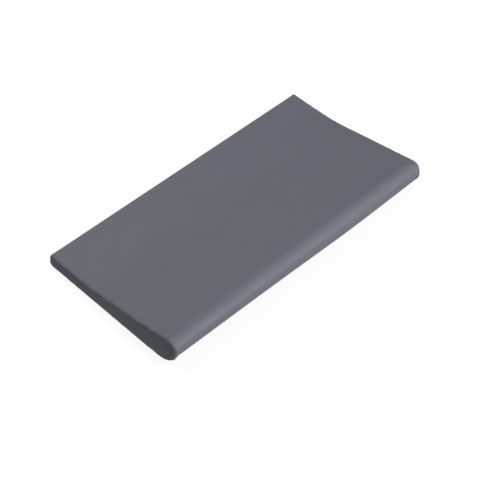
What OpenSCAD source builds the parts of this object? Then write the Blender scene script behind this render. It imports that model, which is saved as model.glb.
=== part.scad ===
// Wedge-shaped kneeling pad: a layered foam core in a sewn leatherette cover.
// The tail along the back is thin and flat. The top then rises in a straight slope to a rolled
// front edge. The cover closes with a zip in the back edge.
// X runs along the 60 cm length, -Y is the rolled front edge, +Z is up, and the floor is at Z = 0.

/* [Pad] */
// Length along the rolled front edge
pad_length = 600; // [400:10:800]
// Depth from the rolled front edge to the back
pad_depth = 322; // [290:2:360]
// Height of the flat tail at the back
tail_height = 28; // [28:0.5:32]
// Depth of the flat tail, before the top starts to rise
tail_depth = 111; // [80:1:130]
// Height of the rolled front edge
nose_height = 61; // [56:1:70]
// Radius of the upper shoulder of the rolled front edge
shoulder_r = 17; // [15:1:20]
// Radius of the soft bend between the tail and the slope
bend_r = 420; // [200:10:500]

/* [Cover] */
// Thickness of the leatherette and of the base cloth
skin = 1.3; // [1:0.1:1.5]
// How far the end panels sit inside the cover's edge
end_inset = 0.8; // [0.4:0.1:2]
// Where the cover meets the base cloth, as an angle back from straight down under the roll
seam_angle = 25; // [15:1:30]
// Radius of the rounded strips along the back
strip_r = 5.5; // [5.5:0.1:6]

/* [Foam] */
// Thickness of the base sheet and of the comfort layer
ply = 10; // [8:0.5:10]
// How far the nose core reaches back from the rolled front edge
core_depth = 81; // [60:1:120]
// Clearance between two layers
gap = 0.3; // [0.2:0.1:0.5]

/* [Zip] */
// Distance between the stitched edges of the two back strips
zip_slot = 10; // [10:0.5:11]
// Length of the zip's tapes
tape_length = 572; // [380:2:580]
// Length of the slider's body
slider_length = 11; // [10:0.5:12]
// Length of the pull, from its pin to its tip
pull_length = 22; // [16:1:26]

/* [Hidden] */

$fn = 48;
arc_steps = 16;       // straight pieces in each drawn arc

// Side section of the pad, as [y, z]
front_y = -pad_depth / 2;
back_y = pad_depth / 2;
roll_r = nose_height - shoulder_r;                  // radius of the lower, undercut part of the nose
shoulder_c = [front_y + shoulder_r, roll_r];
roll_c = [front_y + roll_r, roll_r];
kink = [back_y - tail_depth, tail_height];
reach = norm(kink - shoulder_c);
slope = atan2(shoulder_c[1] - kink[1], kink[0] - shoulder_c[0]) + asin(shoulder_r / reach);
bend_c = [kink[0] + bend_r * tan(slope / 2), tail_height + bend_r];

// Layers, as distances in from the outside of the cover
comfort_inset = skin + gap;
core_inset = comfort_inset + ply + gap;

// Back edge, from the outside inwards
edge_y = back_y - 1.6;                              // back edge of the top cover and of the base cloth
zip_z = tail_height / 2;
slot_top = zip_z + zip_slot / 2;
slot_bottom = zip_z - zip_slot / 2;
bar_t = 0.8;                                        // bar of the slider's bridge
plate_t = 1;                                        // each plate of the slider
pin_r = 0.45;
coil_t = 2;
tape_t = 0.6;
bar_y = back_y - bar_t;                             // inside of the bridge's bar
pin_y = bar_y - gap - pin_r;
plate_y = pin_y - pin_r - gap;                      // outside of the slider's outer plate
coil_y = plate_y - plate_t - gap;                   // outside of the coils
tape_y = coil_y - coil_t;                           // outside of the tapes
inner_y = tape_y - tape_t - 0.4;                    // outside of the slider's inner plate
foam_y = inner_y - plate_t - 0.4;                   // back of the foam layers
panel_y = tape_y - 0.1;                             // back of the end panels
hem_y = tape_y + gap;                               // inside of the strips' hems

// Zip, across (z) and along (x)
tape_gap = 0.6;                                     // half the gap between the two tapes
coil_w = 2.2;
coil_edge = tape_gap + coil_w;
slider_w = 8.6;
channel = 6.4;                                      // width of the slider's channel
closed_x = pad_length / 2 - 38;                     // middle of the slider when the zip is closed
stop_x = closed_x + slider_length / 2 + gap;
stop_l = 2;
bridge_l = 6.4;
pull_w = 6.4;
eye_l = 4.4;                                        // from the pin to the far end of the pull's eye

panel_x = pad_length / 2 - end_inset - skin;        // inside of an end panel
foam_l = 2 * (panel_x - 0.4);

function polar(c, r, a) = c + r * [cos(a), sin(a)];
function arc(c, r, a, b) = [for (i = [0:arc_steps]) polar(c, r, a + (b - a) * i / arc_steps)];
function reversed(p) = [for (i = [len(p) - 1:-1:0]) p[i]];
function skip_first(p) = [for (i = [1:len(p) - 1]) p[i]];

// The run over the top, a distance in from the outside, from y = back to an angle round the roll
function top_run(inset, back, end_angle) = concat(
    [[back, tail_height - inset]],
    arc(bend_c, bend_r + inset, 270, 270 - slope),
    arc(shoulder_c, shoulder_r - inset, 90 - slope, 90),
    skip_first(arc(shoulder_c, shoulder_r - inset, 90, 180)),
    skip_first(arc(roll_c, roll_r - inset, 180, end_angle))
);
function base_run(inset, back, start_angle) = concat(
    arc(roll_c, roll_r - inset, start_angle, 270),
    [[back, inset]]
);

// A closed side section of everything inside a given distance from the outside
module inside(inset, back) {
    polygon(concat(top_run(inset, back, 270), [[back, inset]]));
}

// Draws a side section, [y, z], as a bar of the given length centred on x
module along_x(length, x = 0) {
    translate([x, 0, 0]) rotate([90, 0, 90]) linear_extrude(length, center = true) children();
}

// Draws an outline seen from behind, [x, z], as a plate between two y values at the zip's height
module plate(y0, y1) {
    translate([0, y1, zip_z]) rotate([90, 0, 0]) linear_extrude(y1 - y0) children();
}

module cover_top() {
    end = 270 - seam_angle;
    color("dimgray") along_x(pad_length) polygon(concat(
        top_run(0, edge_y, end), reversed(top_run(skin, edge_y, end))
    ));
}

module cover_base() {
    start = 270 - seam_angle + 0.5;
    color("darkslategray") along_x(pad_length) polygon(concat(
        base_run(0, edge_y, start), reversed(base_run(skin, edge_y, start))
    ));
}

module end_panel(side) {
    color("slategray") along_x(skin, side * (panel_x + skin / 2)) inside(comfort_inset, panel_y);
}

module end_panel_left() {
    end_panel(-1);
}

module end_panel_right() {
    end_panel(1);
}

// One back strip, drawn as the lower one: rounded outside, folded in at the zip, hemmed inside
module back_strip_section(bulge_y) {
    c = [bulge_y - strip_r, slot_bottom - 4.4];
    sewn = comfort_inset - c[1];
    folded = slot_bottom - c[1];
    a = asin(sewn / strip_r);
    b = asin(folded / strip_r);
    polygon(concat(
        arc(c, strip_r, a, 0),
        skip_first(arc(c, strip_r, 0, b)),
        [[hem_y, slot_bottom], [hem_y, comfort_inset + 1.4], [hem_y + skin, comfort_inset + 1.4]],
        [[hem_y + skin, slot_bottom - skin]],
        arc(c, strip_r - skin, asin((folded - skin) / (strip_r - skin)), a)
    ));
}

module back_strip_lower() {
    color("dimgray") along_x(pad_length) back_strip_section(back_y);
}

module back_strip_upper() {
    color("dimgray") along_x(pad_length)
        translate([0, tail_height]) mirror([0, 1]) back_strip_section(back_y - 0.8);
}

// A tab sewn over the end of the zip, in the slot between the strips
module zip_end_tab(side) {
    tab_l = 23;
    color("dimgray") translate([side * (panel_x - gap - tab_l / 2), 0, 0])
        plate(hem_y, hem_y + skin) square([tab_l, zip_slot - 2 * gap], center = true);
}

module zip_end_tab_left() {
    zip_end_tab(-1);
}

module zip_end_tab_right() {
    zip_end_tab(1);
}

module zip_tape(side) {
    tape_w = 10.5;
    color("black") plate(tape_y - tape_t, tape_y)
        translate([0, side * (tape_gap + tape_w / 2)]) square([tape_length, tape_w], center = true);
}

module zip_tape_upper() {
    zip_tape(1);
}

module zip_tape_lower() {
    zip_tape(-1);
}

module zip_coil(side) {
    color("black") plate(tape_y, coil_y)
        translate([gap / 2, side * (tape_gap + coil_w / 2)])
            square([2 * stop_x - gap, coil_w], center = true);
}

module zip_coil_upper() {
    zip_coil(1);
}

module zip_coil_lower() {
    zip_coil(-1);
}

// Two small clips, one on each tape, where the closed slider stops
module zip_top_stops() {
    color("gray") for (side = [-1, 1])
        plate(tape_y, coil_y)
            translate([stop_x + stop_l / 2 + gap, side * (tape_gap + coil_w / 2)])
                square([stop_l, coil_w], center = true);
}

// One clip across both tapes, where the open slider stops
module zip_bottom_stop() {
    color("gray") plate(tape_y, coil_y)
        translate([-stop_x - stop_l / 2 - gap, 0]) square([stop_l, 2 * coil_edge], center = true);
}

// Outline of the slider's plates: narrow where the closed coils leave it, wide where they enter
module slider_outline() {
    l = slider_length / 2;
    w = slider_w / 2;
    half = [[-l, w - 1.9], [-l + 1, w - 0.8], [0, w], [l - 1.2, w], [l, w - 1.2]];
    polygon(concat(half, [for (p = reversed(half)) [p[0], -p[1]]]));
}

module zip_slider() {
    l = bridge_l / 2;
    color("darkgray") translate([closed_x, 0, 0]) {
        plate(inner_y - plate_t, inner_y) slider_outline();
        plate(plate_y - plate_t, plate_y) slider_outline();
        // Side flanges, which keep the coils in the channel
        difference() {
            plate(tape_y + 0.4, plate_y) slider_outline();
            plate(tape_y, plate_y - plate_t) square([2 * slider_length, channel], center = true);
        }
        // The post between the plates, in the gap between the tapes
        plate(inner_y - plate_t, plate_y) translate([2.8, 0]) square([3.6, 0.6], center = true);
        // The bridge that holds the pull
        translate([0, 0, zip_z]) linear_extrude(1.8, center = true) polygon([
            [-l, plate_y - 0.1], [-l, bar_y], [-l + bar_t, back_y], [l - bar_t, back_y], [l, bar_y],
            [l, plate_y - 0.1], [l - 0.9, plate_y - 0.1], [l - 0.9, bar_y], [-l + 0.9, bar_y],
            [-l + 0.9, plate_y - 0.1]
        ]);
    }
}

// Outline of the pull: an eye round the bridge, a waist, and a rounded paddle
module pull_outline() {
    eye_w = 4.8;
    paddle_x = pull_length - pull_w / 2;
    difference() {
        union() {
            translate([0, -eye_w / 2]) square([eye_l + 2, eye_w]);
            polygon([
                [eye_l, eye_w / 2], [eye_l + 4, 1.9], [paddle_x, pull_w / 2],
                [paddle_x, -pull_w / 2], [eye_l + 4, -1.9], [eye_l, -eye_w / 2]
            ]);
            translate([paddle_x, 0]) circle(d = pull_w);
        }
        translate([-1, -1.2]) square([eye_l + 1, 2.4]);
    }
}

module zip_pull() {
    color("darkgray") translate([closed_x, 0, 0]) {
        plate(pin_y - pin_r, pin_y + pin_r) pull_outline();
        translate([0, pin_y, zip_z]) cylinder(h = 4.8, r = pin_r, center = true);
        // Grip ribs across the paddle
        for (x = [pull_length - 8:2:pull_length - 4])
            plate(pin_y - pin_r - 0.2, pin_y + pin_r + 0.2) translate([x, 0]) square([0.8, 4], center = true);
    }
}

module foam_base() {
    front = roll_c[0] + gap;
    color("darkgreen") along_x(foam_l)
        translate([front, comfort_inset]) square([foam_y - front, ply]);
}

module foam_wedge() {
    front = front_y + core_depth + gap;
    color("beige") along_x(foam_l) intersection() {
        inside(core_inset, foam_y);
        translate([front, 0]) square([pad_depth, nose_height]);
    }
}

module nose_core() {
    color("orange") along_x(foam_l) intersection() {
        inside(core_inset, foam_y);
        translate([front_y, 0]) square([core_depth, nose_height]);
    }
}

module comfort_layer() {
    color("khaki") along_x(foam_l) polygon(concat(
        top_run(comfort_inset, foam_y, 270), reversed(top_run(comfort_inset + ply, foam_y, 270))
    ));
}

cover_top();
cover_base();
end_panel_left();
end_panel_right();
back_strip_upper();
back_strip_lower();
zip_end_tab_left();
zip_end_tab_right();
zip_tape_upper();
zip_tape_lower();
zip_coil_upper();
zip_coil_lower();
zip_top_stops();
zip_bottom_stop();
zip_slider();
zip_pull();
foam_base();
foam_wedge();
nose_core();
comfort_layer();
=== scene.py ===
"""Looks of the wedge-shaped kneeling pad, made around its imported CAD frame. Everything is in metres.

The cover is drawn as sewn panels that follow one closed side outline. The pull of the thread and a cloth
simulation of the whole skin then move all the panels and their stitches together.
"""
import math

import bmesh
import bpy
import numpy as np
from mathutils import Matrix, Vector
from mathutils.kdtree import KDTree


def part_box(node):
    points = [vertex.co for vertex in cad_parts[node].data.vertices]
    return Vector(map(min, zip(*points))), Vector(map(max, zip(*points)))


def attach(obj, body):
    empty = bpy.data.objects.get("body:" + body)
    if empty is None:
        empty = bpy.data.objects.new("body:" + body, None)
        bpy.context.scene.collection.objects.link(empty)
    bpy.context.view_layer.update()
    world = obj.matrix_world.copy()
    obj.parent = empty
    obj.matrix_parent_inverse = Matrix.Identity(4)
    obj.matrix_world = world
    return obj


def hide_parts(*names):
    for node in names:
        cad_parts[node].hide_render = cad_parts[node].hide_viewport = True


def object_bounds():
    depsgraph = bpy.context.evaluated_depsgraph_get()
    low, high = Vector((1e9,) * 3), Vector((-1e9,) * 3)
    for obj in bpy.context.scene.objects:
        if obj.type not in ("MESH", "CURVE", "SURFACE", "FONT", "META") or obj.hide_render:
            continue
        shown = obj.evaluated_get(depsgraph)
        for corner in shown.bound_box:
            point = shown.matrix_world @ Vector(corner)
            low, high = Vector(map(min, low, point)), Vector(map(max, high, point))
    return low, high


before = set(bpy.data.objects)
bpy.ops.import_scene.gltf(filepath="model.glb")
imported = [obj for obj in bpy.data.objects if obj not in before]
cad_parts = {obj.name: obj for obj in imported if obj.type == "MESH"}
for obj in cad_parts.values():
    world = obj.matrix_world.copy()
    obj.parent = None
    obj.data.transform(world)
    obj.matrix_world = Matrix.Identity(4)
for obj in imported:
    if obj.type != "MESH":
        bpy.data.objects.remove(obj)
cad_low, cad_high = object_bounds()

MM = 0.001

# ---- Driving dimensions: overall sizes from the frame, the section's shape as in the CAD
HALF_LENGTH = cad_high.x
FRONT_Y = cad_low.y
BACK_Y = cad_high.y
NOSE_HEIGHT = cad_high.z
ZIP_LOW, ZIP_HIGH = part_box("zip_slider")
ZIP_Z = (ZIP_LOW.z + ZIP_HIGH.z) / 2
TAIL_HEIGHT = 2 * ZIP_Z
TAIL_DEPTH = 111 * MM
SHOULDER_R = 17 * MM
BEND_R = 420 * MM
STRIP_R = 5.5 * MM
SLOT = 10 * MM                  # between the folded edges of the back strips
COVER_SEAM = 245                # angle round the roll at which the leatherette meets the base cloth
STEP = 2.5 * MM                 # spacing of the points along an outline

SKIN = 1.0 * MM                 # leatherette
CLOTH = 0.8 * MM                # base cloth
GRIP = 0.6 * MM                 # height of the grip dots under the base cloth

SEAM_R = 1.8 * MM               # how softly a panel turns into a seam at the pad's ends
SEAM_TURN = 76                  # how far it turns there, in degrees
SEAM_DEPTH = 1.1 * MM           # how deep a seam's edges run into the pad
GROOVE = 0.5 * MM               # how far in the lines of the long seams lie
STRIP_RISE = 4.4 * MM           # from the middle of a strip's round to its fold at the zip
FOLD_R = 1.25 * MM              # radius of that fold

ROLL_R = NOSE_HEIGHT - SHOULDER_R
SHOULDER_C = np.array([FRONT_Y + SHOULDER_R, ROLL_R])
ROLL_C = np.array([FRONT_Y + ROLL_R, ROLL_R])
KINK = np.array([BACK_Y - TAIL_DEPTH, TAIL_HEIGHT])
_reach = float(np.hypot(*(KINK - SHOULDER_C)))
SLOPE = math.degrees(
    math.atan2(SHOULDER_C[1] - KINK[1], KINK[0] - SHOULDER_C[0]) + math.asin(SHOULDER_R / _reach)
)
BEND_C = np.array([KINK[0] + BEND_R * math.tan(math.radians(SLOPE / 2)), TAIL_HEIGHT + BEND_R])


# ---- Outlines in the side view, as arrays of (y, z), counterclockwise with the nose on the left
def direction(degrees):
    return np.array([math.cos(math.radians(degrees)), math.sin(math.radians(degrees))])


def arc(centre, radius, start, end, step=STEP):
    """Points on an arc between two angles in degrees, at most a step apart."""
    turn = abs(math.radians(end - start))
    count = max(4, math.ceil(turn * radius / step), math.ceil(turn / math.radians(7)))
    a = np.radians(np.linspace(start, end, count + 1))
    return np.array(centre) + radius * np.stack([np.cos(a), np.sin(a)], axis=1)


def line(start, end, step=STEP):
    start, end = np.array(start, float), np.array(end, float)
    count = max(1, math.ceil(np.hypot(*(end - start)) / step))
    return start + (end - start) * np.linspace(0, 1, count + 1)[:, None]


def joined(*runs):
    """One outline from runs that meet, without the points that repeat."""
    points = np.concatenate(runs)
    keep = np.ones(len(points), bool)
    keep[1:] = np.hypot(*np.diff(points, axis=0).T) > 1e-6
    return points[keep]


def normals(points):
    """Outward normals along an outline that runs counterclockwise."""
    t = np.gradient(points, axis=0)
    n = np.stack([t[:, 1], -t[:, 0]], axis=1)
    return n / np.hypot(*n.T)[:, None]


def top_run(back, end):
    """From the back edge over the top and round the nose to an angle round the roll."""
    up = np.array([math.sin(math.radians(SLOPE)), math.cos(math.radians(SLOPE))])
    return joined(
        line([back, TAIL_HEIGHT], [BEND_C[0], TAIL_HEIGHT]),
        arc(BEND_C, BEND_R, 270, 270 - SLOPE),
        line(BEND_C - BEND_R * up, SHOULDER_C + SHOULDER_R * up),
        arc(SHOULDER_C, SHOULDER_R, 90 - SLOPE, 180),
        arc(ROLL_C, ROLL_R, 180, end),
    )


def base_run(start, back):
    """The base cloth, from an angle round the roll to the back edge. It lies on its grip dots."""
    curl = arc(ROLL_C, 1, start, 270) - ROLL_C
    radius = ROLL_R - GRIP * np.linspace(0, 1, len(curl))
    return joined(ROLL_C + curl * radius[:, None], line([ROLL_C[0], GRIP], [back, GRIP]))


STRIP_LOW = np.array([BACK_Y - STRIP_R, ZIP_Z - SLOT / 2 - STRIP_RISE])
UPPER_SHIFT = np.array([-0.8 * MM, TAIL_HEIGHT])     # the upper strip is the lower one mirrored, less proud
LOW_ANGLE = -38                                      # where the lower strip's seam lies on its round
FOLD_ANGLE = math.degrees(math.asin((STRIP_RISE - FOLD_R) / (STRIP_R - FOLD_R)))
FOLD_C = STRIP_LOW + (STRIP_R - FOLD_R) * direction(FOLD_ANGLE)
FOLD_END = 178                                       # the angle at which the fold becomes a straight hem
HEM = 3.8 * MM                                       # how far down the hem runs behind the strip
NEAR_SEAM = 9                                        # degrees of the round that turn into its seam


def mirrored(points):
    """A run of the upper strip from the same run of the lower one."""
    return (points * [1, -1] + UPPER_SHIFT)[::-1]


def seam_at(centre, radius, angle):
    """A long seam's line and the direction into the pad there."""
    return centre + (radius - GROOVE) * direction(angle), -direction(angle)


SEAM_UNDER = seam_at(ROLL_C, ROLL_R, COVER_SEAM)
SEAM_LOW = seam_at(STRIP_LOW, STRIP_R, LOW_ANGLE)
SEAM_HIGH = (SEAM_LOW[0] * [1, -1] + UPPER_SHIFT, SEAM_LOW[1] * [1, -1])
UNDER_STEP = math.degrees(1.2 * MM / ROLL_R)         # how far from the seam under the nose its edges turn in
TOP_BACK = SEAM_HIGH[0][0] - 0.8 * MM                # where the top cover turns in to its back seam
BASE_BACK = SEAM_LOW[0][0] - 0.9 * MM                # and where the base cloth does


def strip_run(fine=0.6 * MM):
    """The lower strip from its seam over its round to the fold at the zip, and down its hem."""
    hem = FOLD_C + FOLD_R * direction(FOLD_END)
    return joined(
        arc(STRIP_LOW, STRIP_R, LOW_ANGLE + NEAR_SEAM, FOLD_ANGLE, fine),
        arc(FOLD_C, FOLD_R, FOLD_ANGLE, FOLD_END, fine),
        line(hem, hem - [0, HEM], fine),
    )


def with_seams(points, start=None, end=None):
    """(points, normals) of an outline whose ends turn in to a long seam and then run into the pad."""
    n = normals(points)
    parts, ns = [points], [n]
    for seam, at, place in ((start, 0, 0), (end, -1, 2)):
        if seam is None:
            continue
        last = points[at]
        ahead = np.array([n[at][1], -n[at][0]]) * (1 if at == 0 else -1)
        corner = last + ahead * 0.6 * np.hypot(*(seam[0] - last))
        t = np.linspace(0, 1, 6)[1:, None]
        curve = (1 - t) ** 2 * last + 2 * t * (1 - t) * corner + t ** 2 * seam[0]
        tail = np.concatenate([curve, seam[0] + seam[1] * SEAM_DEPTH * np.array([[0.4], [1]])])
        tail_n = np.repeat(n[at][None], len(tail), axis=0)
        parts.insert(place, tail[::-1] if at == 0 else tail)
        ns.insert(place, tail_n)
    return np.concatenate(parts), np.concatenate(ns)


# ---- The zip's slot closes up towards the two ends of the pad
CLOSE_FROM = HALF_LENGTH - 17 * MM
CLOSE_TO = HALF_LENGTH - 2 * MM
NOTCH = 0.4 * MM                                     # what is left of the slot at the very end
BULGE_LOW = 4.0 * MM                                 # how far the gathered ends of the strips stand out
BULGE_HIGH = 2.4 * MM
BULGE_AT = 10 * MM                                   # how high above the floor, or below the top
BULGE_WIDTH = 5 * MM


def smooth(t):
    """From 0 to 1 as t does, without a corner."""
    t = np.clip(t, 0, 1)
    return t * t * (3 - 2 * t)


def hump(value, middle, width, power=2):
    """1 in the middle, and fading to nothing on both sides. A higher power gives a flatter top."""
    return np.exp(-((value - middle) / width) ** power)


def gathered(grid, upper):
    """Strip points (x, y, z) of the middle section, made taller and fuller towards the ends."""
    grid = np.array(grid, float)
    share = smooth((np.abs(grid[:, 0]) - CLOSE_FROM) / (CLOSE_TO - CLOSE_FROM))
    rise = TAIL_HEIGHT - grid[:, 2] if upper else grid[:, 2]
    seam = SEAM_LOW[0][1]
    taller = (SLOT - NOTCH) / 2 / (ZIP_Z - SLOT / 2 - seam)
    rise = rise + share * taller * np.maximum(rise - seam, 0)
    full = hump(rise, BULGE_AT, BULGE_WIDTH, 4)
    grid[:, 1] += share * full * (BULGE_HIGH if upper else BULGE_LOW)
    grid[:, 2] = TAIL_HEIGHT - rise if upper else rise
    return grid


def end_run(points, upper=False):
    """A strip's run (y, z) as it is at the pad's ends."""
    return gathered(np.column_stack([np.full(len(points), HALF_LENGTH), points]), upper)[:, 1:]


def end_back(fine=0.8 * MM):
    """The back of the pad's ends, from the base cloth's seam up to the top cover's."""
    middle = joined(
        arc(STRIP_LOW, STRIP_R, LOW_ANGLE + NEAR_SEAM, FOLD_ANGLE, fine),
        arc(FOLD_C, FOLD_R, FOLD_ANGLE, 90, fine),
    )
    low, high = SEAM_LOW[0][None], SEAM_HIGH[0][None]
    return joined(low, end_run(middle), end_run(mirrored(middle), upper=True), high)


def outline():
    """The closed outline of the pad's ends."""
    start = top_run(TOP_BACK, COVER_SEAM)
    return joined(start, base_run(COVER_SEAM, BASE_BACK), end_back(), start[:1])


OUTLINE = outline()
OUTLINE_N = normals(OUTLINE)
OUTLINE_AT = np.concatenate([[0], np.cumsum(np.hypot(*np.diff(OUTLINE, axis=0).T))])
NOSE_AT = OUTLINE_AT[int(np.argmin(OUTLINE[:, 0]))]


def nearest(points, chunk=4000):
    """For points (y, z): how far along the outline the nearest place on it is, and how far off."""
    a, d = OUTLINE[:-1], np.diff(OUTLINE, axis=0)
    size = np.maximum((d * d).sum(1), 1e-18)
    at, off = np.empty(len(points)), np.empty(len(points))
    for k in range(0, len(points), chunk):
        rel = points[k:k + chunk, None, :] - a
        t = np.clip((rel * d).sum(2) / size, 0, 1)
        gap = np.hypot(*np.moveaxis(rel - t[..., None] * d, 2, 0))
        best = gap.argmin(1)
        row = np.arange(len(best))
        off[k:k + chunk] = gap[row, best]
        at[k:k + chunk] = OUTLINE_AT[best] + t[row, best] * np.sqrt(size[best])
    return at, off


def normal_at(at):
    n = np.stack([np.interp(at, OUTLINE_AT, OUTLINE_N[:, k]) for k in (0, 1)], axis=1)
    return n / np.hypot(*n.T)[:, None]


# ---- Meshes
def mesh_of(name, points, faces):
    """A new object with a smoothly shaded mesh."""
    mesh = bpy.data.meshes.new(name)
    mesh.from_pydata(np.asarray(points).tolist(), [], [tuple(int(i) for i in f) for f in faces])
    mesh.polygons.foreach_set("use_smooth", [True] * len(mesh.polygons))
    mesh.validate()
    piece = bpy.data.objects.new(name, mesh)
    bpy.context.scene.collection.objects.link(piece)
    return piece


def grid_faces(rows, cols, flip=False):
    """Quads of a grid of points, row after row."""
    i, j = np.meshgrid(np.arange(rows - 1), np.arange(cols - 1), indexing="ij")
    a = (i * cols + j).ravel()
    quads = np.stack([a, a + cols, a + cols + 1, a + 1], axis=1)
    return quads[:, ::-1] if flip else quads


def vertices(piece):
    co = np.empty(len(piece.data.vertices) * 3)
    piece.data.vertices.foreach_get("co", co)
    return co.reshape(-1, 3)


def move_vertices(piece, points):
    piece.data.vertices.foreach_set("co", np.asarray(points, float).ravel())
    piece.data.update()


def apply_modifiers(piece):
    """Leaves the piece with the mesh that its modifiers make."""
    graph = bpy.context.evaluated_depsgraph_get()
    made = bpy.data.meshes.new_from_object(piece.evaluated_get(graph))
    old = piece.data
    piece.modifiers.clear()
    piece.data = made
    bpy.data.meshes.remove(old)
    made.name = piece.name
    return piece


def thicken(piece, thickness):
    """A sheet of the given thickness, whose outside is the drawn surface."""
    solid = piece.modifiers.new("thickness", "SOLIDIFY")
    solid.thickness = thickness
    solid.offset = -1
    solid.use_even_offset = False
    return apply_modifiers(piece)


def finished(piece, body, slot, material, *nodes):
    """Gives a piece its finish and its body, and hides the CAD nodes that it stands for."""
    piece.data.materials.clear()
    piece.data.materials.append(material)
    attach(piece, body)
    if nodes:
        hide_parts(*nodes)
    return piece


# ---- How a panel turns into the seams at the pad's ends
TURN = np.radians(np.linspace(0, SEAM_TURN, 8))
TURN_ON = SEAM_R * np.sin(TURN)
TURN_IN = SEAM_R * (1 - np.cos(TURN))
SEAM_IN = TURN_IN[-1]                                # how far in an end seam's line lies, both ways
SEAM_WIDTH = TURN_ON[-1] + SEAM_IN                   # where a panel starts to turn into it


# ---- What sewing and foam do to the cover: one movement that all its panels and stitches share
def wave(at, pitch, phase):
    """An uneven wave, about from -1 to 1, such as thread tension leaves along a seam."""
    turns = 2 * math.pi * at / pitch
    slow = np.sin(turns + phase + 1.6 * np.sin(turns / 3.7 + phase))
    quick = np.sin(1.83 * turns + 2.3 * phase + 1.9 * np.sin(turns / 2.6 + 1.0))
    return 0.62 * slow + 0.38 * quick


PUCKER = 1.35 * MM              # how far the thread pulls the upper end seams in
PUCKER_RIGHT = 0.2              # the right end's share of that
PUCKER_UNDER = 0.2              # the share of it that is left under the nose
PUCKER_PITCH = 29 * MM
PUCKER_REACH = 6 * MM           # how far from the outline the thread still moves the cover
UNDER_FROM = NOSE_AT + 8 * MM   # between these two places along the outline the pull fades
UNDER_TO = NOSE_AT + 32 * MM
SEAM_REACH = 8 * MM             # how far from an end its seam still moves the cover
SEAM_STIFF = 12 * MM            # how far from the outline a stiff end seam still moves the end panel
SAG = 2.8 * MM                  # how far the roll's soft underside hangs forward
SAG_AT = NOSE_AT + math.radians(33) * ROLL_R
SAG_WIDTH = 22 * MM
SAG_X = 0.42 * HALF_LENGTH      # where it hangs furthest
FLARE = 1.9 * MM                # the stiff left end seam stands out round the nose
TIP_AT = NOSE_AT + 12 * MM      # the middle of that flare, along the outline
TIP_WIDTH = 29 * MM
SHOULDER_FLARE = 2.2 * MM       # the right end seam stands out at the nose's shoulder
SHOULDER_AT = NOSE_AT - 14 * MM
SHOULDER_WIDTH = 7 * MM
FRONT_FLARE = 2.4 * MM          # and at its front
FRONT_AT = NOSE_AT + 9 * MM
FRONT_WIDTH = 8.5 * MM
TIP_IN = 1.8 * MM               # the left end panel is drawn in at the nose
RIGHT_FULL = 0.6 * MM           # the right end is a little fuller than the left
SPREAD = 0.9 * MM               # the pad's foot spreads over the floor at its ends
CORNER = 0.9 * MM               # the back corners, with three layers of seam, stand out
CORNER_REACH = 7 * MM
CROWN = 0.8 * MM                # the slope is slightly full
CROWN_Y = -20 * MM
CROWN_WIDTH = 65 * MM
UNEVEN = 0.3 * MM               # the foam's hollows and bumps
UNEVEN_X = 210 * MM             # their pitches, along the pad and along its outline
UNEVEN_AT = 160 * MM


def thread_pull(at, off, side, from_end):
    """How far the thread moves the cover: out of the outline, and along the pad towards its end."""
    share = PUCKER_UNDER + (1 - PUCKER_UNDER) * smooth((UNDER_TO - at) / (UNDER_TO - UNDER_FROM))
    share = share * np.where(side < 0, 1, PUCKER_RIGHT)
    amount = PUCKER * share * np.exp(-from_end / SEAM_REACH - off / PUCKER_REACH)
    out = -amount * (0.4 + wave(at, PUCKER_PITCH, 1.9 + side))
    along = 0.7 * amount * wave(at, PUCKER_PITCH, 3.4 + side)
    return out, along


def end_seams(at, off, side, from_end):
    """How far the stiff end seams stand out at the nose, and how far in the end panels lie."""
    stiff = hump(off, 0, SEAM_STIFF)
    left_tip = FLARE * hump(at, TIP_AT, TIP_WIDTH, 4)
    shoulder = SHOULDER_FLARE * hump(at, SHOULDER_AT, SHOULDER_WIDTH)
    front = FRONT_FLARE * hump(at, FRONT_AT, FRONT_WIDTH)
    flare = np.where(side < 0, left_tip, shoulder + front) * stiff * hump(from_end, SEAM_WIDTH, 5 * MM)
    above = smooth((at - NOSE_AT + 95 * MM) / (60 * MM))
    below = hump(np.maximum(at, TIP_AT), TIP_AT, TIP_WIDTH, 4)
    drawn_in = np.where(side < 0, TIP_IN * above * below * stiff, -RIGHT_FULL)
    return flare, drawn_in


def foam_push(p, at, off, from_end):
    """How far the foam pushes the top out, and lets the nose's underside hang forward."""
    hollows = UNEVEN * wave(p[:, 0], UNEVEN_X, 0.4) * wave(at, UNEVEN_AT, 1.9) * smooth(from_end / (60 * MM))
    crown = CROWN * hump(p[:, 1], CROWN_Y, CROWN_WIDTH)
    on_top = np.exp(-off / (4 * MM)) * (at < NOSE_AT)
    sag = SAG * (0.25 + 0.75 * hump(p[:, 0], SAG_X, SAG_X))
    return (hollows + crown) * on_top + sag * hump(at, SAG_AT, SAG_WIDTH) * hump(off, 0, SEAM_STIFF)


def puckered(points):
    """Cover points, moved by the thread, the stiff end seams and the foam."""
    p = np.array(points, float)
    at, off = nearest(p[:, 1:])
    side = np.sign(p[:, 0])
    from_end = np.maximum(HALF_LENGTH - np.abs(p[:, 0]), 0)
    out, along = thread_pull(at, off, side, from_end)
    flare, drawn_in = end_seams(at, off, side, from_end)
    out = out + flare + foam_push(p, at, off, from_end)
    p[:, 1:] += normal_at(at) * out[:, None]
    foot = SPREAD * hump(p[:, 2], 0, 7 * MM) * smooth((p[:, 1] - FRONT_Y - 45 * MM) / (30 * MM))
    p[:, 0] += side * (along + (foot - drawn_in) * np.exp(-from_end / SEAM_REACH))
    from_back = np.maximum(BACK_Y - p[:, 1], 0)
    corner = CORNER * np.exp(-(from_end + from_back) / CORNER_REACH) * smooth(p[:, 2] / TAIL_HEIGHT)
    sideways = np.where(side < 0, -0.5, 0.8)
    return p + np.stack([corner * sideways, corner, corner / 2], axis=1)


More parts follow.
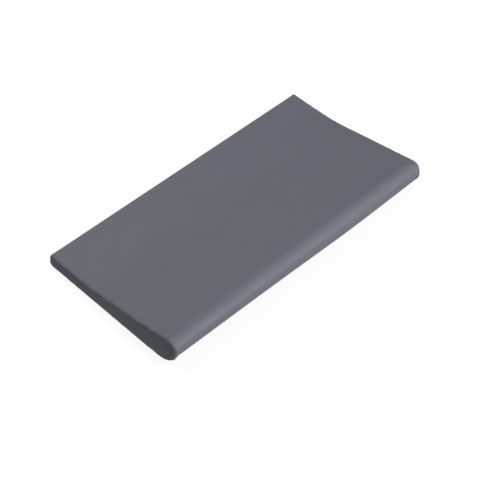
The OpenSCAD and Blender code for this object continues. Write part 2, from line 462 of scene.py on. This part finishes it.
# ---- The foam's pressure under the cover, simulated as cloth
SWELL = 2.2 * MM                                     # the most that the foam pushes the cover out
VOXEL = 6 * MM
FRAMES = 20
HELD = 5 * MM                                        # how far from the end seams the skin is held still
NEIGHBOURS = 8                                       # points of the skin that move each point of the cover


def swollen_skin():
    """A closed skin round the foam, blown up by a cloth simulation: its rest points and their moves."""
    size = len(OUTLINE) - 1
    points = np.array([(x, y, z) for x in (-HALF_LENGTH, HALF_LENGTH) for y, z in OUTLINE[:-1]])
    walls = [(k, (k + 1) % size, size + (k + 1) % size, size + k) for k in range(size)]
    faces = walls + [tuple(range(size - 1, -1, -1)), tuple(range(size, 2 * size))]
    skin = mesh_of("skin", points, faces)
    remesh = skin.modifiers.new("remesh", "REMESH")
    remesh.mode = "VOXEL"
    remesh.voxel_size = VOXEL
    apply_modifiers(skin)
    rest = vertices(skin)
    _, off = nearest(rest[:, 1:])
    from_end = HALF_LENGTH - np.abs(rest[:, 0])
    flat = (rest[:, 2] < 3 * MM) | (np.abs(rest[:, 1] - BACK_Y) < 14 * MM)       # underside, back strips
    held = np.nonzero(((from_end < HELD) & (off < HELD)) | flat)[0]
    group = skin.vertex_groups.new(name="seams")
    group.add([int(i) for i in held], 1.0, "REPLACE")
    cloth = skin.modifiers.new("cloth", "CLOTH")
    cloth.settings.vertex_group_mass = "seams"
    cloth.settings.use_pressure = True
    cloth.settings.uniform_pressure_force = 4
    cloth.settings.tension_stiffness = 40
    cloth.settings.compression_stiffness = 40
    cloth.settings.bending_stiffness = 4
    cloth.settings.effector_weights.gravity = 0
    cloth.point_cache.frame_end = FRAMES
    for frame_number in range(1, FRAMES + 1):
        bpy.context.scene.frame_set(frame_number)
    graph = bpy.context.evaluated_depsgraph_get()
    made = skin.evaluated_get(graph).to_mesh()
    blown = np.empty(len(made.vertices) * 3)
    made.vertices.foreach_get("co", blown)
    move = blown.reshape(-1, 3) - rest
    bpy.context.scene.frame_set(1)
    bpy.data.objects.remove(skin)
    far = np.hypot(np.hypot(move[:, 0], move[:, 1]), move[:, 2])[:, None]
    return rest, move * SWELL / (SWELL + far)


def swell_field():
    """A function that moves points as the simulated skin next to them moved."""
    rest, move = swollen_skin()
    tree = KDTree(len(rest))
    for k, place in enumerate(rest):
        tree.insert(place, k)
    tree.balance()

    def swell(points):
        moved = np.array(points, float)
        for k, place in enumerate(points):
            found = tree.find_n(place, NEIGHBOURS)
            near = np.array([1 / (gap + 2 * MM) ** 2 for _, _, gap in found])
            moved[k] += near @ move[[index for _, index, _ in found]] / near.sum()
        return moved

    return swell


swell = swell_field()


def fitted(points):
    """Cover points as they lie on the finished pad."""
    return swell(puckered(points))


# ---- Cover panels that wrap round the pad
def columns(count):
    """The x values across a wrapping panel, closer near its ends, and how far in it lies at each."""
    reach = HALF_LENGTH - SEAM_WIDTH
    spread = 1.9
    middle = reach * np.tanh(spread * np.linspace(-1, 1, count)) / math.tanh(spread)
    dive = SEAM_DEPTH * math.sqrt(0.5) * np.array([0.4, 1])
    on = np.concatenate([TURN_ON[1:], TURN_ON[-1] - dive])
    deep = np.concatenate([TURN_IN[1:], TURN_IN[-1] + dive])
    x = np.concatenate([-(reach + on[::-1]), middle, reach + on])
    return x, np.concatenate([deep[::-1], np.zeros(count), deep])


def wrapped(name, points, ns, thickness, strip=None, count=150):
    """A sheet swept along the pad's length on an outline, and turned into the end seams."""
    x, depth = columns(count)
    y = points[:, None, 0] - ns[:, None, 0] * depth
    z = points[:, None, 1] - ns[:, None, 1] * depth
    grid = np.stack([np.broadcast_to(x, y.shape), y, z], axis=2).reshape(-1, 3)
    if strip:
        grid = gathered(grid, strip == "upper")
    return thicken(mesh_of(name, fitted(grid), grid_faces(*y.shape)), thickness)


def length_of(points):
    return float(np.hypot(*np.diff(points, axis=0).T).sum())


def make_cover_top():
    points, ns = with_seams(top_run(TOP_BACK, COVER_SEAM - UNDER_STEP), SEAM_HIGH, SEAM_UNDER)
    piece = wrapped("top_panel", points, ns, SKIN)
    length_of(points)
    return finished(piece, "pad", "leatherette", LEATHERETTE, "cover_top")


def make_cover_base():
    points, ns = with_seams(base_run(COVER_SEAM + UNDER_STEP, BASE_BACK), SEAM_UNDER, SEAM_LOW)
    piece = wrapped("base_panel", points, ns, CLOTH)
    length_of(points)
    return finished(piece, "pad", "base_cloth", BASE_CLOTH, "cover_base")


def make_strips():
    run = strip_run()
    low = with_seams(run, start=SEAM_LOW)
    high = with_seams(mirrored(run), end=SEAM_HIGH)
    for level, (points, ns) in (("lower", low), ("upper", high)):
        piece = wrapped("strip_panel_" + level, points, ns, SKIN, strip=level, count=190)
        length_of(points)
        finished(piece, "pad", "leatherette", LEATHERETTE, "back_strip_" + level)


# ---- End panels
NOSE_DEPTH = 62 * MM            # the points of an end panel lie closer together in front of this
PANEL_FULL = 0.8 * MM           # how far the foam pushes an end panel out
CREASE = 2.2 * MM               # depth of the crease round the nose core
CREASE_IN = 10.5 * MM           # and how far inside the outline it runs
CREASE_WIDTH = 1.5 * MM
RAY = 1.3 * MM                  # depth of the puckers between the crease and the seam
RAY_IN = 6.5 * MM
RAY_WIDTH = 3.5 * MM
RAY_PITCH = 17 * MM
NOSE_REACH = 46 * MM            # how far they run along the outline, both ways from the nose's tip


def height_at(y, run, inset):
    """The z of a run, moved in by an inset, at given y values."""
    moved = run - normals(run) * inset
    order = np.argsort(moved[:, 0])
    return np.interp(y, moved[order, 0], moved[order, 1])


def end_grid(rows_between=48):
    """An end panel's points inside its seam: their y, their z, and the y of the tip. Columns run upright."""
    upper = top_run(TOP_BACK, 180)
    lower = joined(arc(ROLL_C, ROLL_R, 180, COVER_SEAM), base_run(COVER_SEAM, BASE_BACK))
    back = end_back()
    back = back - normals(back) * SEAM_IN
    first = TOP_BACK - SEAM_IN
    turn_y, tip = FRONT_Y + NOSE_DEPTH, FRONT_Y + SEAM_IN
    near_back = first - 8 * MM
    y = np.concatenate([
        np.linspace(first, near_back, 9)[:-1],
        np.linspace(near_back, turn_y, 104),
        tip + (turn_y - tip) * (1 - np.sin(np.linspace(0, math.pi / 2, 62)[1:-1])),
    ])
    t = np.linspace(-1, 1, rows_between)
    t = 0.5 + 0.5 * np.tanh(1.7 * t) / math.tanh(1.7)
    z_top, z_base = height_at(y, upper, SEAM_IN)[:, None], height_at(y, lower, SEAM_IN)[:, None]
    grid_z = z_top + (z_base - z_top) * t
    grid_y = np.repeat(y[:, None], len(t), axis=1)
    edge = np.argsort(back[:, 1])
    bulge = np.interp(grid_z, back[edge, 1], back[edge, 0]) - first
    fade = np.clip(1 - (first - grid_y) / (16 * MM), 0, 1) ** 2
    return grid_y + bulge * fade, grid_z, tip


def end_relief(at, off, side):
    """How far an end panel stands out: the foam behind it, less the crease and puckers at the nose."""
    swelling = PANEL_FULL * (1 - np.exp(-np.maximum(off - SEAM_WIDTH, 0) / (6 * MM)))
    crease = CREASE * hump(off, CREASE_IN, CREASE_WIDTH)
    rays = np.maximum(wave(at + 4 * MM * side, RAY_PITCH, 1.1), 0) ** 2
    folds = crease + RAY * rays * hump(off, RAY_IN, RAY_WIDTH)
    return swelling - folds * hump(at, NOSE_AT, NOSE_REACH, 4)


def make_end_panel(side):
    """An end panel: a sheet inside the outline, turned into the seam all round."""
    name = "left" if side < 0 else "right"
    grid_y, grid_z, tip = end_grid()
    rows, cols = grid_y.shape
    flat = np.append(np.stack([grid_y.ravel(), grid_z.ravel()], axis=1), [[tip, ROLL_R]], axis=0)
    at, off = nearest(flat)
    into = np.clip(SEAM_WIDTH - off, 0, TURN_ON[-1])
    recess = SEAM_R - np.sqrt(SEAM_R ** 2 - into ** 2)
    faces = [tuple(q) for q in grid_faces(rows, cols, flip=side > 0)]
    last = (rows - 1) * cols
    for k in range(cols - 1):
        fan = (last + k, rows * cols, last + k + 1)
        faces.append(fan if side < 0 else fan[::-1])
    x = side * (HALF_LENGTH - recess + end_relief(at, off, side))
    piece = mesh_of("end_panel_cover_" + name, np.column_stack([x, flat]), faces)
    add_seam_edge(piece, side)
    move_vertices(piece, fitted(vertices(piece)))
    thicken(piece, SKIN)
    return finished(piece, "pad", "leatherette", LEATHERETTE, "end_panel_" + name)


def add_seam_edge(piece, side):
    """The border of an end panel, run on into the pad."""
    mesh = bmesh.new()
    mesh.from_mesh(piece.data)
    for share in (0.4, 0.6):
        border = [e for e in mesh.edges if e.is_boundary]
        made = bmesh.ops.extrude_edge_only(mesh, edges=border)["geom"]
        fresh = [g for g in made if isinstance(g, bmesh.types.BMVert)]
        at, _ = nearest(np.array([(v.co.y, v.co.z) for v in fresh]))
        step = share * SEAM_DEPTH * math.sqrt(0.5)
        for v, n in zip(fresh, normal_at(at)):
            v.co.x -= side * step
            v.co.y -= n[0] * step
            v.co.z -= n[1] * step
    mesh.to_mesh(piece.data)
    mesh.free()


# ---- The zip's cloth, coils and metal
TAPE_LOW, TAPE_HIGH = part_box("zip_tape_upper")
COIL_LOW, COIL_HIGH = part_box("zip_coil_upper")
TAB_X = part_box("zip_end_tab_right")[0].x             # where a tab's inner edge lies
TAB_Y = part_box("zip_end_tab_left")[1].y
TAB_HALF = 6.4 * MM                                  # half of a tab's height
TAB_LEAN = 0.028                                     # how much it leans in towards its upper edge
COIL_PITCH = 1.4 * MM
WIRE_R = 0.32 * MM
COIL_GAP = 0.34 * MM                                 # from the zip's centre line to a coil


def flat_sheet(name, x, z, y_at, thickness):
    """A sheet that faces backwards, from x and z values, with y given by a function of both."""
    grid_x, grid_z = np.meshgrid(x, z, indexing="ij")
    points = np.stack([grid_x, y_at(grid_x, grid_z), grid_z], axis=2).reshape(-1, 3)
    return thicken(mesh_of(name, points, grid_faces(*grid_x.shape, flip=True)), thickness)


def make_tabs():
    """A tab over each end of the zip, held under the hems and in the end seam."""

    def y_at(grid_x, grid_z):
        lean = -TAB_LEAN * (grid_z - ZIP_Z)
        crown = 0.25 * MM * np.cos((grid_z - ZIP_Z) / TAB_HALF * math.pi / 2)
        folded = -0.8 * MM * (1 - smooth((np.abs(grid_x) - TAB_X) / (1.5 * MM)))
        return TAB_Y - 0.35 * MM + lean + crown + folded

    for side, name in ((-1, "left"), (1, "right")):
        x = side * np.linspace(TAB_X, HALF_LENGTH - 1.6 * MM, 26)[::side]
        z = ZIP_Z + np.linspace(-TAB_HALF, TAB_HALF, 14)
        piece = flat_sheet("zip_tab_" + name, x, z, y_at, SKIN)
        finished(piece, "pad", "leatherette", LEATHERETTE, "zip_end_tab_" + name)


def make_tapes():
    """The zip's two tapes. Each ripples slightly where it is sewn to its strip."""
    for level, sign in (("upper", 1), ("lower", -1)):
        x = np.linspace(TAPE_LOW.x, TAPE_HIGH.x, 180)
        near, far = TAPE_LOW.z - ZIP_Z, TAPE_HIGH.z - ZIP_Z
        z = ZIP_Z + sign * np.linspace(near, far, 10)

        def y_at(grid_x, grid_z):
            ripple = 0.12 * MM * wave(grid_x, 31 * MM, 0.5 + sign)
            return TAPE_HIGH.y + ripple * smooth((np.abs(grid_z - ZIP_Z) - 3 * MM) / (6 * MM))

        piece = flat_sheet("tape_" + level, x, z[::sign], y_at, 0.6 * MM)
        finished(piece, "pad", "zip_cloth", TAPE, "zip_tape_" + level)


def tube(path, radius, sides=6):
    """Points and faces of a round tube along a path, closed at both ends."""
    path = np.asarray(path)
    ahead = np.gradient(path, axis=0)
    ahead /= np.linalg.norm(ahead, axis=1)[:, None]
    one = np.cross(ahead, [0.31, 0.17, 0.93])
    one /= np.linalg.norm(one, axis=1)[:, None]
    two = np.cross(ahead, one)
    a = np.linspace(0, 2 * math.pi, sides, endpoint=False)
    ring = one[:, None] * np.cos(a)[:, None] + two[:, None] * np.sin(a)[:, None]
    points = (path[:, None] + ring * radius).reshape(-1, 3)
    i, j = np.meshgrid(np.arange(len(path) - 1), np.arange(sides), indexing="ij")
    here, beside = i * sides + j, i * sides + (j + 1) % sides
    quads = np.stack([here, beside, beside + sides, here + sides], axis=2)
    faces = [tuple(f) for f in quads.reshape(-1, 4)]
    last = (len(path) - 1) * sides
    return points, faces + [tuple(range(sides))[::-1], tuple(range(last, last + sides))]


def make_coils():
    """The two nylon coils: flattened spirals, half a turn apart, that end just short of each other."""
    turns = int((COIL_HIGH.x - COIL_LOW.x) / COIL_PITCH) - 1
    a = np.linspace(0, 2 * math.pi * turns, turns * 12 + 1)
    head, heel = COIL_GAP + WIRE_R, COIL_HIGH.z - ZIP_Z - WIRE_R
    across = (head + heel) / 2 - (heel - head) / 2 * np.cos(a)
    thick = ((COIL_HIGH.y - COIL_LOW.y) / 2 - WIRE_R) * np.sign(np.sin(a)) * np.abs(np.sin(a)) ** 0.6
    y = (COIL_LOW.y + COIL_HIGH.y) / 2 + thick
    for level, sign, start in (("upper", 1, 0.25), ("lower", -1, 0.75)):
        x = COIL_LOW.x + COIL_PITCH * (a / (2 * math.pi) + start)
        path = np.stack([x, y, ZIP_Z + sign * across], axis=1)
        piece = mesh_of("coil_" + level, *tube(path, WIRE_R))
        finished(piece, "pad", "zip_nylon", NYLON, "zip_coil_" + level)


def rounded_copy(node, name, width, segments=2):
    """A copy of a CAD node with its sharp edges rounded."""
    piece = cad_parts[node].copy()
    piece.data = piece.data.copy()
    piece.parent = None
    for key in list(piece.keys()):
        del piece[key]
    piece.name = piece.data.name = name
    bpy.context.scene.collection.objects.link(piece)
    mesh = bmesh.new()
    mesh.from_mesh(piece.data)
    bmesh.ops.remove_doubles(mesh, verts=mesh.verts, dist=0.002 * MM)
    bmesh.ops.dissolve_limit(mesh, angle_limit=math.radians(1), verts=mesh.verts, edges=mesh.edges)
    mesh.to_mesh(piece.data)
    mesh.free()
    bevel = piece.modifiers.new("round", "BEVEL")
    bevel.width = width
    bevel.segments = segments
    bevel.limit_method = "ANGLE"
    bevel.angle_limit = math.radians(30)
    bevel.use_clamp_overlap = True
    apply_modifiers(piece)
    piece.data.polygons.foreach_set("use_smooth", [True] * len(piece.data.polygons))
    normal = piece.modifiers.new("flats", "WEIGHTED_NORMAL")
    normal.keep_sharp = False
    return apply_modifiers(piece)


def make_zip_metal():
    """The slider, its pull and the stops, as in the CAD but with their edges rounded."""
    for node, name, body in (
        ("zip_slider", "slider_body", "zip_slider"), ("zip_pull", "slider_pull", "zip_pull"),
        ("zip_top_stops", "top_stop_clips", "pad"), ("zip_bottom_stop", "bottom_stop_clip", "pad"),
    ):
        piece = rounded_copy(node, name, 0.14 * MM)
        finished(piece, body, "zip_metal", METAL, node)


# ---- Sewing thread
def stitch_row(name, starts, ends, outward, diameter=0.62 * MM):
    """A row of stitches, each a short thread that dips into the cover at both ends."""
    sides, steps = 6, 7
    points, faces = [], []
    t = np.linspace(0, 1, steps)
    for start, end, up in zip(starts, ends, outward):
        rise = (np.sin(np.pi * t) ** 0.5 - 0.62) * diameter * 0.75
        path = start + (end - start) * t[:, None] + up * rise[:, None]
        ring, quads = tube(path, diameter / 2, sides)
        offset = len(points) * steps * sides
        points.append(ring)
        faces += [tuple(i + offset for i in f) for f in quads]
    piece = mesh_of(name, np.concatenate(points), faces)
    return finished(piece, "pad", "thread", THREAD)


STITCH = 2.7 * MM
STITCH_PITCH = 3.5 * MM
STITCH_BACK = 2.6 * MM                               # from the fold to the row of stitches
STITCH_END = 11 * MM                                 # from the rows to the pad's ends
TAB_STITCH = 2.6 * MM
TAB_STITCH_PITCH = 3.1 * MM
TAB_STITCH_IN = 2.2 * MM                             # from a tab's inner edge to its row


def make_stitches():
    """A row beside each fold of the zip's slot, and one across each tab."""
    run = strip_run(0.2 * MM)
    along = np.concatenate([[0], np.cumsum(np.hypot(*np.diff(run, axis=0).T))])
    fold = along[int(np.argmax(run[:, 1]))]
    for level in ("lower", "upper"):
        place = np.array([np.interp(fold - STITCH_BACK, along, run[:, k]) for k in (0, 1)])
        if level == "upper":
            place = place * [1, -1] + UPPER_SHIFT
        centre = STRIP_LOW if level == "lower" else STRIP_LOW * [1, -1] + UPPER_SHIFT
        up = np.array([0, *(place - centre)])
        up /= np.linalg.norm(up)
        count = int(2 * (HALF_LENGTH - STITCH_END) / STITCH_PITCH)
        x = (np.arange(count) - (count - 1) / 2) * STITCH_PITCH
        ends = []
        for shift in (-STITCH / 2, STITCH / 2):
            row = np.stack([x + shift, np.full(count, place[0]), np.full(count, place[1])], axis=1)
            ends.append(fitted(gathered(row, level == "upper")))
        stitch_row("stitches_" + level, ends[0], ends[1], np.repeat(up[None], count, axis=0))
    rise = np.array([-1, 0, 1]) * TAB_STITCH_PITCH
    for side, name in ((-1, "left"), (1, "right")):
        x = np.full(3, side * (TAB_X + TAB_STITCH_IN))
        y = TAB_Y - 0.12 * MM - TAB_LEAN * rise
        low = np.stack([x, y, ZIP_Z + rise - TAB_STITCH / 2], axis=1)
        high = low + [0, 0, TAB_STITCH]
        stitch_row("stitches_tab_" + name, low, high, np.repeat([[0, 1, 0]], 3, axis=0))


# ---- Foam
FOAM_SHORT = 4 * MM                                  # the foams end about this far short of the CAD's


def make_foams():
    """The foams, as in the CAD but with softer edges and slightly shorter."""
    for node, name, slot, material, fill in (
        ("foam_base", "base_sheet_foam", "foam_firm", FOAM_FIRM, 1.0),
        ("foam_wedge", "wedge_foam", "foam_firm", FOAM_FIRM, 0.95),
        ("nose_core", "nose_roll_foam", "foam_firm", FOAM_FIRM, 0.95),
        ("comfort_layer", "comfort_foam", "foam_soft", FOAM_SOFT, 0.85),
    ):
        piece = rounded_copy(node, name, 1.6 * MM, 3)
        move_vertices(piece, vertices(piece) * [1 - FOAM_SHORT / HALF_LENGTH, 1, 1])
        finished(piece, "pad", slot, material, node)


# ---- Grip dots under the base cloth
DOT_PITCH = 10 * MM
DOT_R = 2.1 * MM
DOT_TOP = GRIP + 0.1 * MM                            # the dots are sunk slightly into the cloth
DOT_PROFILE = ((1.0, 0.0), (0.92, 0.55), (0.6, 0.92))       # (share of the radius, share of the height)


def make_grip_dots(sides=10):
    """Rows of low round dots, each row half a pitch to the side of the one before."""
    points, faces = [], []
    a = np.linspace(0, 2 * math.pi, sides, endpoint=False)
    row_pitch = DOT_PITCH * math.sqrt(0.75)
    first = ROLL_C[0] + 6 * MM
    rows = int((BASE_BACK - 8 * MM - first) / row_pitch)
    for row in range(rows + 1):
        y = first + row * row_pitch
        count = int(2 * (HALF_LENGTH - 12 * MM) / DOT_PITCH) - row % 2
        for x in (np.arange(count) - (count - 1) / 2) * DOT_PITCH:
            base = len(points)
            for share, high in DOT_PROFILE:
                ring_r, z = DOT_R * share, DOT_TOP * (1 - high)
                points += [(x + ring_r * c, y + ring_r * s, z) for c, s in zip(np.cos(a), np.sin(a))]
            points.append((x, y, 0.0))
            for ring in range(len(DOT_PROFILE) - 1):
                for k in range(sides):
                    here, beside = base + ring * sides + k, base + ring * sides + (k + 1) % sides
                    faces.append((here, here + sides, beside + sides, beside))
            top = base + (len(DOT_PROFILE) - 1) * sides
            tip = top + sides
            faces += [(top + k, tip, top + (k + 1) % sides) for k in range(sides)]
            faces.append(tuple(range(base, base + sides)))
    piece = mesh_of("grip_dots", points, faces)
    return finished(piece, "pad", "base_cloth", GRIP_PVC)


# ---- Materials
class Finish:
    """A procedural material: a shader with helpers that add the nodes of its detail."""

    def __init__(self, name, colour, roughness, metallic=0.0, specular=0.5):
        self.material = bpy.data.materials.new(name)
        self.material.use_nodes = True
        self.tree = self.material.node_tree
        self.shader = self.tree.nodes["Principled BSDF"]
        self.shader.inputs["Base Color"].default_value = (*colour, 1)
        self.shader.inputs["Roughness"].default_value = roughness
        self.shader.inputs["Metallic"].default_value = metallic
        self.shader.inputs["Specular IOR Level"].default_value = specular
        self.colour = colour
        self.place = self.tree.nodes.new("ShaderNodeTexCoord").outputs["Object"]
        self.bumped = None

    def node(self, kind, inputs, **settings):
        made = self.tree.nodes.new("ShaderNode" + kind)
        for key, value in settings.items():
            setattr(made, key, value)
        for key, value in inputs.items():
            if isinstance(value, bpy.types.NodeSocket):
                self.tree.links.new(value, made.inputs[key])
            else:
                made.inputs[key].default_value = value
        return made

    def noise(self, scale, detail=3.0, roughness=0.5, stretch=(1, 1, 1)):
        place = self.node("Mapping", {"Vector": self.place, "Scale": stretch}).outputs["Vector"]
        return self.node(
            "TexNoise", {"Vector": place, "Scale": scale, "Detail": detail, "Roughness": roughness}
        ).outputs["Fac"]

    def cells(self, scale, feature="DISTANCE_TO_EDGE"):
        made = self.node("TexVoronoi", {"Vector": self.place, "Scale": scale}, feature=feature)
        return made.outputs["Distance"]

    def bands(self, scale, axis):
        return self.node(
            "TexWave", {"Vector": self.place, "Scale": scale, "Distortion": 0.0, "Detail": 1.0},
            wave_type="BANDS", bands_direction=axis,
        ).outputs["Fac"]

    def combined(self, operation, one, two):
        return self.node("Math", {0: one, 1: two}, operation=operation).outputs[0]

    def blend(self, one, share, two):
        """The sum of two values, the first with the given share and the second with the rest."""
        rest = self.combined("MULTIPLY", two, 1 - share)
        return self.combined("ADD", self.combined("MULTIPLY", one, share), rest)

    def between(self, value, low, high, out_low, out_high):
        return self.node(
            "MapRange",
            {"Value": value, "From Min": low, "From Max": high, "To Min": out_low, "To Max": out_high},
        ).outputs["Result"]

    def tint(self, value, low, high):
        """The colour varies between two multiples of itself with a value from 0 to 1."""
        mix = self.node("Mix", {"Factor": value}, data_type="RGBA")
        mix.inputs["A"].default_value = (*[c * low for c in self.colour], 1)
        mix.inputs["B"].default_value = (*[c * high for c in self.colour], 1)
        self.tree.links.new(mix.outputs["Result"], self.shader.inputs["Base Color"])

    def roughness(self, value):
        self.tree.links.new(value, self.shader.inputs["Roughness"])

    def bump(self, height, distance, strength):
        inputs = {"Height": height, "Distance": distance, "Strength": strength}
        if self.bumped:
            inputs["Normal"] = self.bumped
        self.bumped = self.node("Bump", inputs).outputs["Normal"]
        self.tree.links.new(self.bumped, self.shader.inputs["Normal"])


def leatherette():
    """Smooth grey leatherette: a fine pebbled grain with painted shade darkening its creases, soft sheen,
    and slight unevenness from handling.
    """
    made = Finish("leatherette", (0.114, 0.1225, 0.148), 0.52, specular=0.42)
    grain_and_crease_shade = made.between(made.cells(850), 0.0, 0.16, 0.0, 1.0)
    # The tint darkens the grain's crease lines between the pebbles, which is painted shade; the noise adds
    # random tone.
    made.tint(made.blend(grain_and_crease_shade, 0.35, made.noise(9, 4, 0.55)), 0.93, 1.07)
    made.roughness(made.between(made.noise(28, 3), 0.3, 0.7, 0.48, 0.56))
    made.bump(grain_and_crease_shade, 0.06 * MM, 0.7)
    made.bump(made.noise(160, 3, 0.6), 0.10 * MM, 0.35)
    made.shader.inputs["Sheen Weight"].default_value = 0.08
    made.shader.inputs["Sheen Roughness"].default_value = 0.45
    return made.material


def base_cloth():
    """Dark plain-woven cloth."""
    made = Finish("base_cloth", (0.022, 0.023, 0.026), 0.85, specular=0.25)
    threads = made.combined("MULTIPLY", made.bands(300, "X"), made.bands(300, "Y"))
    made.tint(made.blend(threads, 0.7, made.noise(40)), 0.6, 1.6)
    made.bump(threads, 0.15 * MM, 0.8)
    return made.material


def grip_pvc():
    """Soft moulded dots, slightly glossy where they have rubbed."""
    made = Finish("grip_pvc", (0.045, 0.047, 0.052), 0.5)
    made.tint(made.noise(60), 0.8, 1.25)
    made.roughness(made.between(made.noise(90), 0.3, 0.7, 0.42, 0.62))
    made.bump(made.noise(1500, 2), 0.02 * MM, 0.5)
    return made.material


def zip_cloth():
    """Black twill tape."""
    made = Finish("zip_cloth", (0.02, 0.02, 0.022), 0.8, specular=0.3)
    twill = made.bands(420, "DIAGONAL")
    made.tint(made.blend(twill, 0.6, made.noise(300)), 0.6, 1.7)
    made.bump(made.combined("MULTIPLY", twill, made.bands(520, "X")), 0.12 * MM, 0.9)
    return made.material


def nylon():
    """Black nylon wire."""
    made = Finish("zip_nylon", (0.016, 0.016, 0.018), 0.32)
    made.tint(made.noise(200), 0.8, 1.4)
    made.roughness(made.between(made.noise(500), 0.3, 0.7, 0.26, 0.42))
    return made.material


def zip_metal():
    """Painted gunmetal, worn brighter in streaks by use."""
    made = Finish("zip_metal", (0.21, 0.215, 0.225), 0.36, metallic=0.85)
    made.tint(made.noise(260, 4, 0.6, (0.3, 1, 1)), 0.7, 1.5)
    made.roughness(made.between(made.noise(700, 3, 0.5, (0.2, 1, 1)), 0.3, 0.7, 0.28, 0.46))
    made.bump(made.noise(900, 3, 0.5, (0.15, 1, 1)), 0.01 * MM, 0.5)
    return made.material


def foam(name, colour, pores):
    """Foam with its cut cells, their pits painted darker as painted shade."""
    made = Finish(name, colour, 0.9, specular=0.2)
    pore_height_and_shade = made.between(made.cells(pores, "F1"), 0.0, 0.5, 0.0, 1.0)
    # Darker in the pits of the cells, where the bump sinks: painted shade.
    made.tint(pore_height_and_shade, 0.72, 1.08)
    made.bump(pore_height_and_shade, 0.25 * MM, 0.7)
    return made.material


def thread():
    """Three-ply polyester thread."""
    made = Finish("thread", (0.115, 0.122, 0.14), 0.6, specular=0.4)
    ply = made.bands(900, "DIAGONAL")
    made.tint(ply, 0.7, 1.25)
    made.bump(ply, 0.05 * MM, 0.8)
    return made.material


LEATHERETTE = leatherette()
BASE_CLOTH = base_cloth()
GRIP_PVC = grip_pvc()
TAPE = zip_cloth()
NYLON = nylon()
METAL = zip_metal()
FOAM_FIRM = foam("foam_firm", (0.10, 0.10, 0.11), 900)
FOAM_SOFT = foam("foam_soft", (0.55, 0.53, 0.46), 1100)
THREAD = thread()


# ---- Making the object
make_cover_top()
make_cover_base()
make_strips()
make_end_panel(-1)
make_end_panel(1)
make_tabs()
make_tapes()
make_coils()
make_zip_metal()
make_stitches()
make_foams()
make_grip_dots()


# ---- Floor, lights and camera
FLOOR_R = 14                    # radius of the floor's flat middle
FLOOR_CURVE = 6                 # radius of the curve round it
FLOOR_WALL = 14                 # height of the wall that the curve turns into
FLOOR_DROP = 0.15 * MM          # the floor lies this far below the grip dots
FLOOR_GLOW = 0.86


def make_floor():
    """A pale, wide dish with a flat middle. It glows like a light table, so its shadows are faint."""
    a = np.radians(np.linspace(0, 90, 10))
    radius = np.concatenate([[FLOOR_R], FLOOR_R + FLOOR_CURVE * np.sin(a[1:]), [FLOOR_R + FLOOR_CURVE]])
    height = np.concatenate([[0], FLOOR_CURVE * (1 - np.cos(a[1:])), [FLOOR_WALL]])
    turn = np.linspace(0, 2 * math.pi, 73)
    x, y = np.outer(radius, np.cos(turn)), np.outer(radius, np.sin(turn))
    points = np.stack([x, y, np.repeat(height[:, None], len(turn), axis=1)], axis=2).reshape(-1, 3)
    faces = [tuple(f) for f in grid_faces(*x.shape)] + [tuple(range(len(turn) - 1))]
    floor = mesh_of("floor", points, faces)
    floor.location.z = -FLOOR_DROP
    floor.visible_glossy = False
    floor.visible_diffuse = False
    made = Finish("floor", (0.2, 0.2, 0.2), 0.9, specular=0.0)
    made.tint(made.noise(3), 0.995, 1.005)
    made.shader.inputs["Emission Color"].default_value = (1, 1, 1, 1)
    made.shader.inputs["Emission Strength"].default_value = FLOOR_GLOW
    floor.data.materials.append(made.material)


def soft_light(name, azimuth, elevation, distance, size, power):
    """A softbox that faces the pad. Azimuth 0 is behind it, 90 on its right and 180 in front."""
    light = bpy.data.lights.new(name, "AREA")
    light.shape = "RECTANGLE"
    light.size, light.size_y = size
    light.energy = power
    lamp = bpy.data.objects.new(name, light)
    bpy.context.scene.collection.objects.link(lamp)
    a, e = math.radians(azimuth), math.radians(elevation)
    towards = Vector((math.sin(a) * math.cos(e), math.cos(a) * math.cos(e), math.sin(e)))
    lamp.location = towards * distance
    lamp.rotation_euler = towards.to_track_quat("Z", "Y").to_euler()
    lamp.visible_camera = False


WORLD_LIGHT = 0.314


def make_lights():
    """A key light from the front right, a back light, a low front light, and even light all round."""
    soft_light("key", 152, 46, 4.2, (2.6, 1.8), 63)
    soft_light("back", 0, 60, 2.2, (2.0, 1.2), 22.4)
    soft_light("front", 172, 5, 3.0, (2.0, 0.3), 64)
    world = bpy.data.worlds.new("studio")
    bpy.context.scene.world = world
    world.use_nodes = True
    background = world.node_tree.nodes["Background"]
    background.inputs["Color"].default_value = (1, 1, 1, 1)
    background.inputs["Strength"].default_value = WORLD_LIGHT


CAMERA_AZIMUTH = math.radians(-44.26)                # to the pad's left of straight on
CAMERA_ELEVATION = math.radians(47.64)
CAMERA_TARGET = Vector((-0.0359, -0.0655, 0.015))
CAMERA_DISTANCE = 2.5643
CAMERA_LENS = 105.4                                  # millimetres, for a sensor 36 mm wide


def make_camera():
    """The camera looks down from the pad's front left, at the photograph's viewing angle."""
    level = math.cos(CAMERA_ELEVATION)
    back = Vector((
        math.sin(CAMERA_AZIMUTH) * level, -math.cos(CAMERA_AZIMUTH) * level, math.sin(CAMERA_ELEVATION)
    ))
    lens = bpy.data.cameras.new("camera")
    lens.lens = CAMERA_LENS
    lens.sensor_width = 36
    camera = bpy.data.objects.new("camera", lens)
    bpy.context.scene.collection.objects.link(camera)
    camera.location = CAMERA_TARGET + back * CAMERA_DISTANCE
    camera.rotation_euler = back.to_track_quat("Z", "Y").to_euler()
    bpy.context.scene.camera = camera


make_floor()
make_lights()
make_camera()
bpy.context.scene.view_settings.view_transform = "Standard"
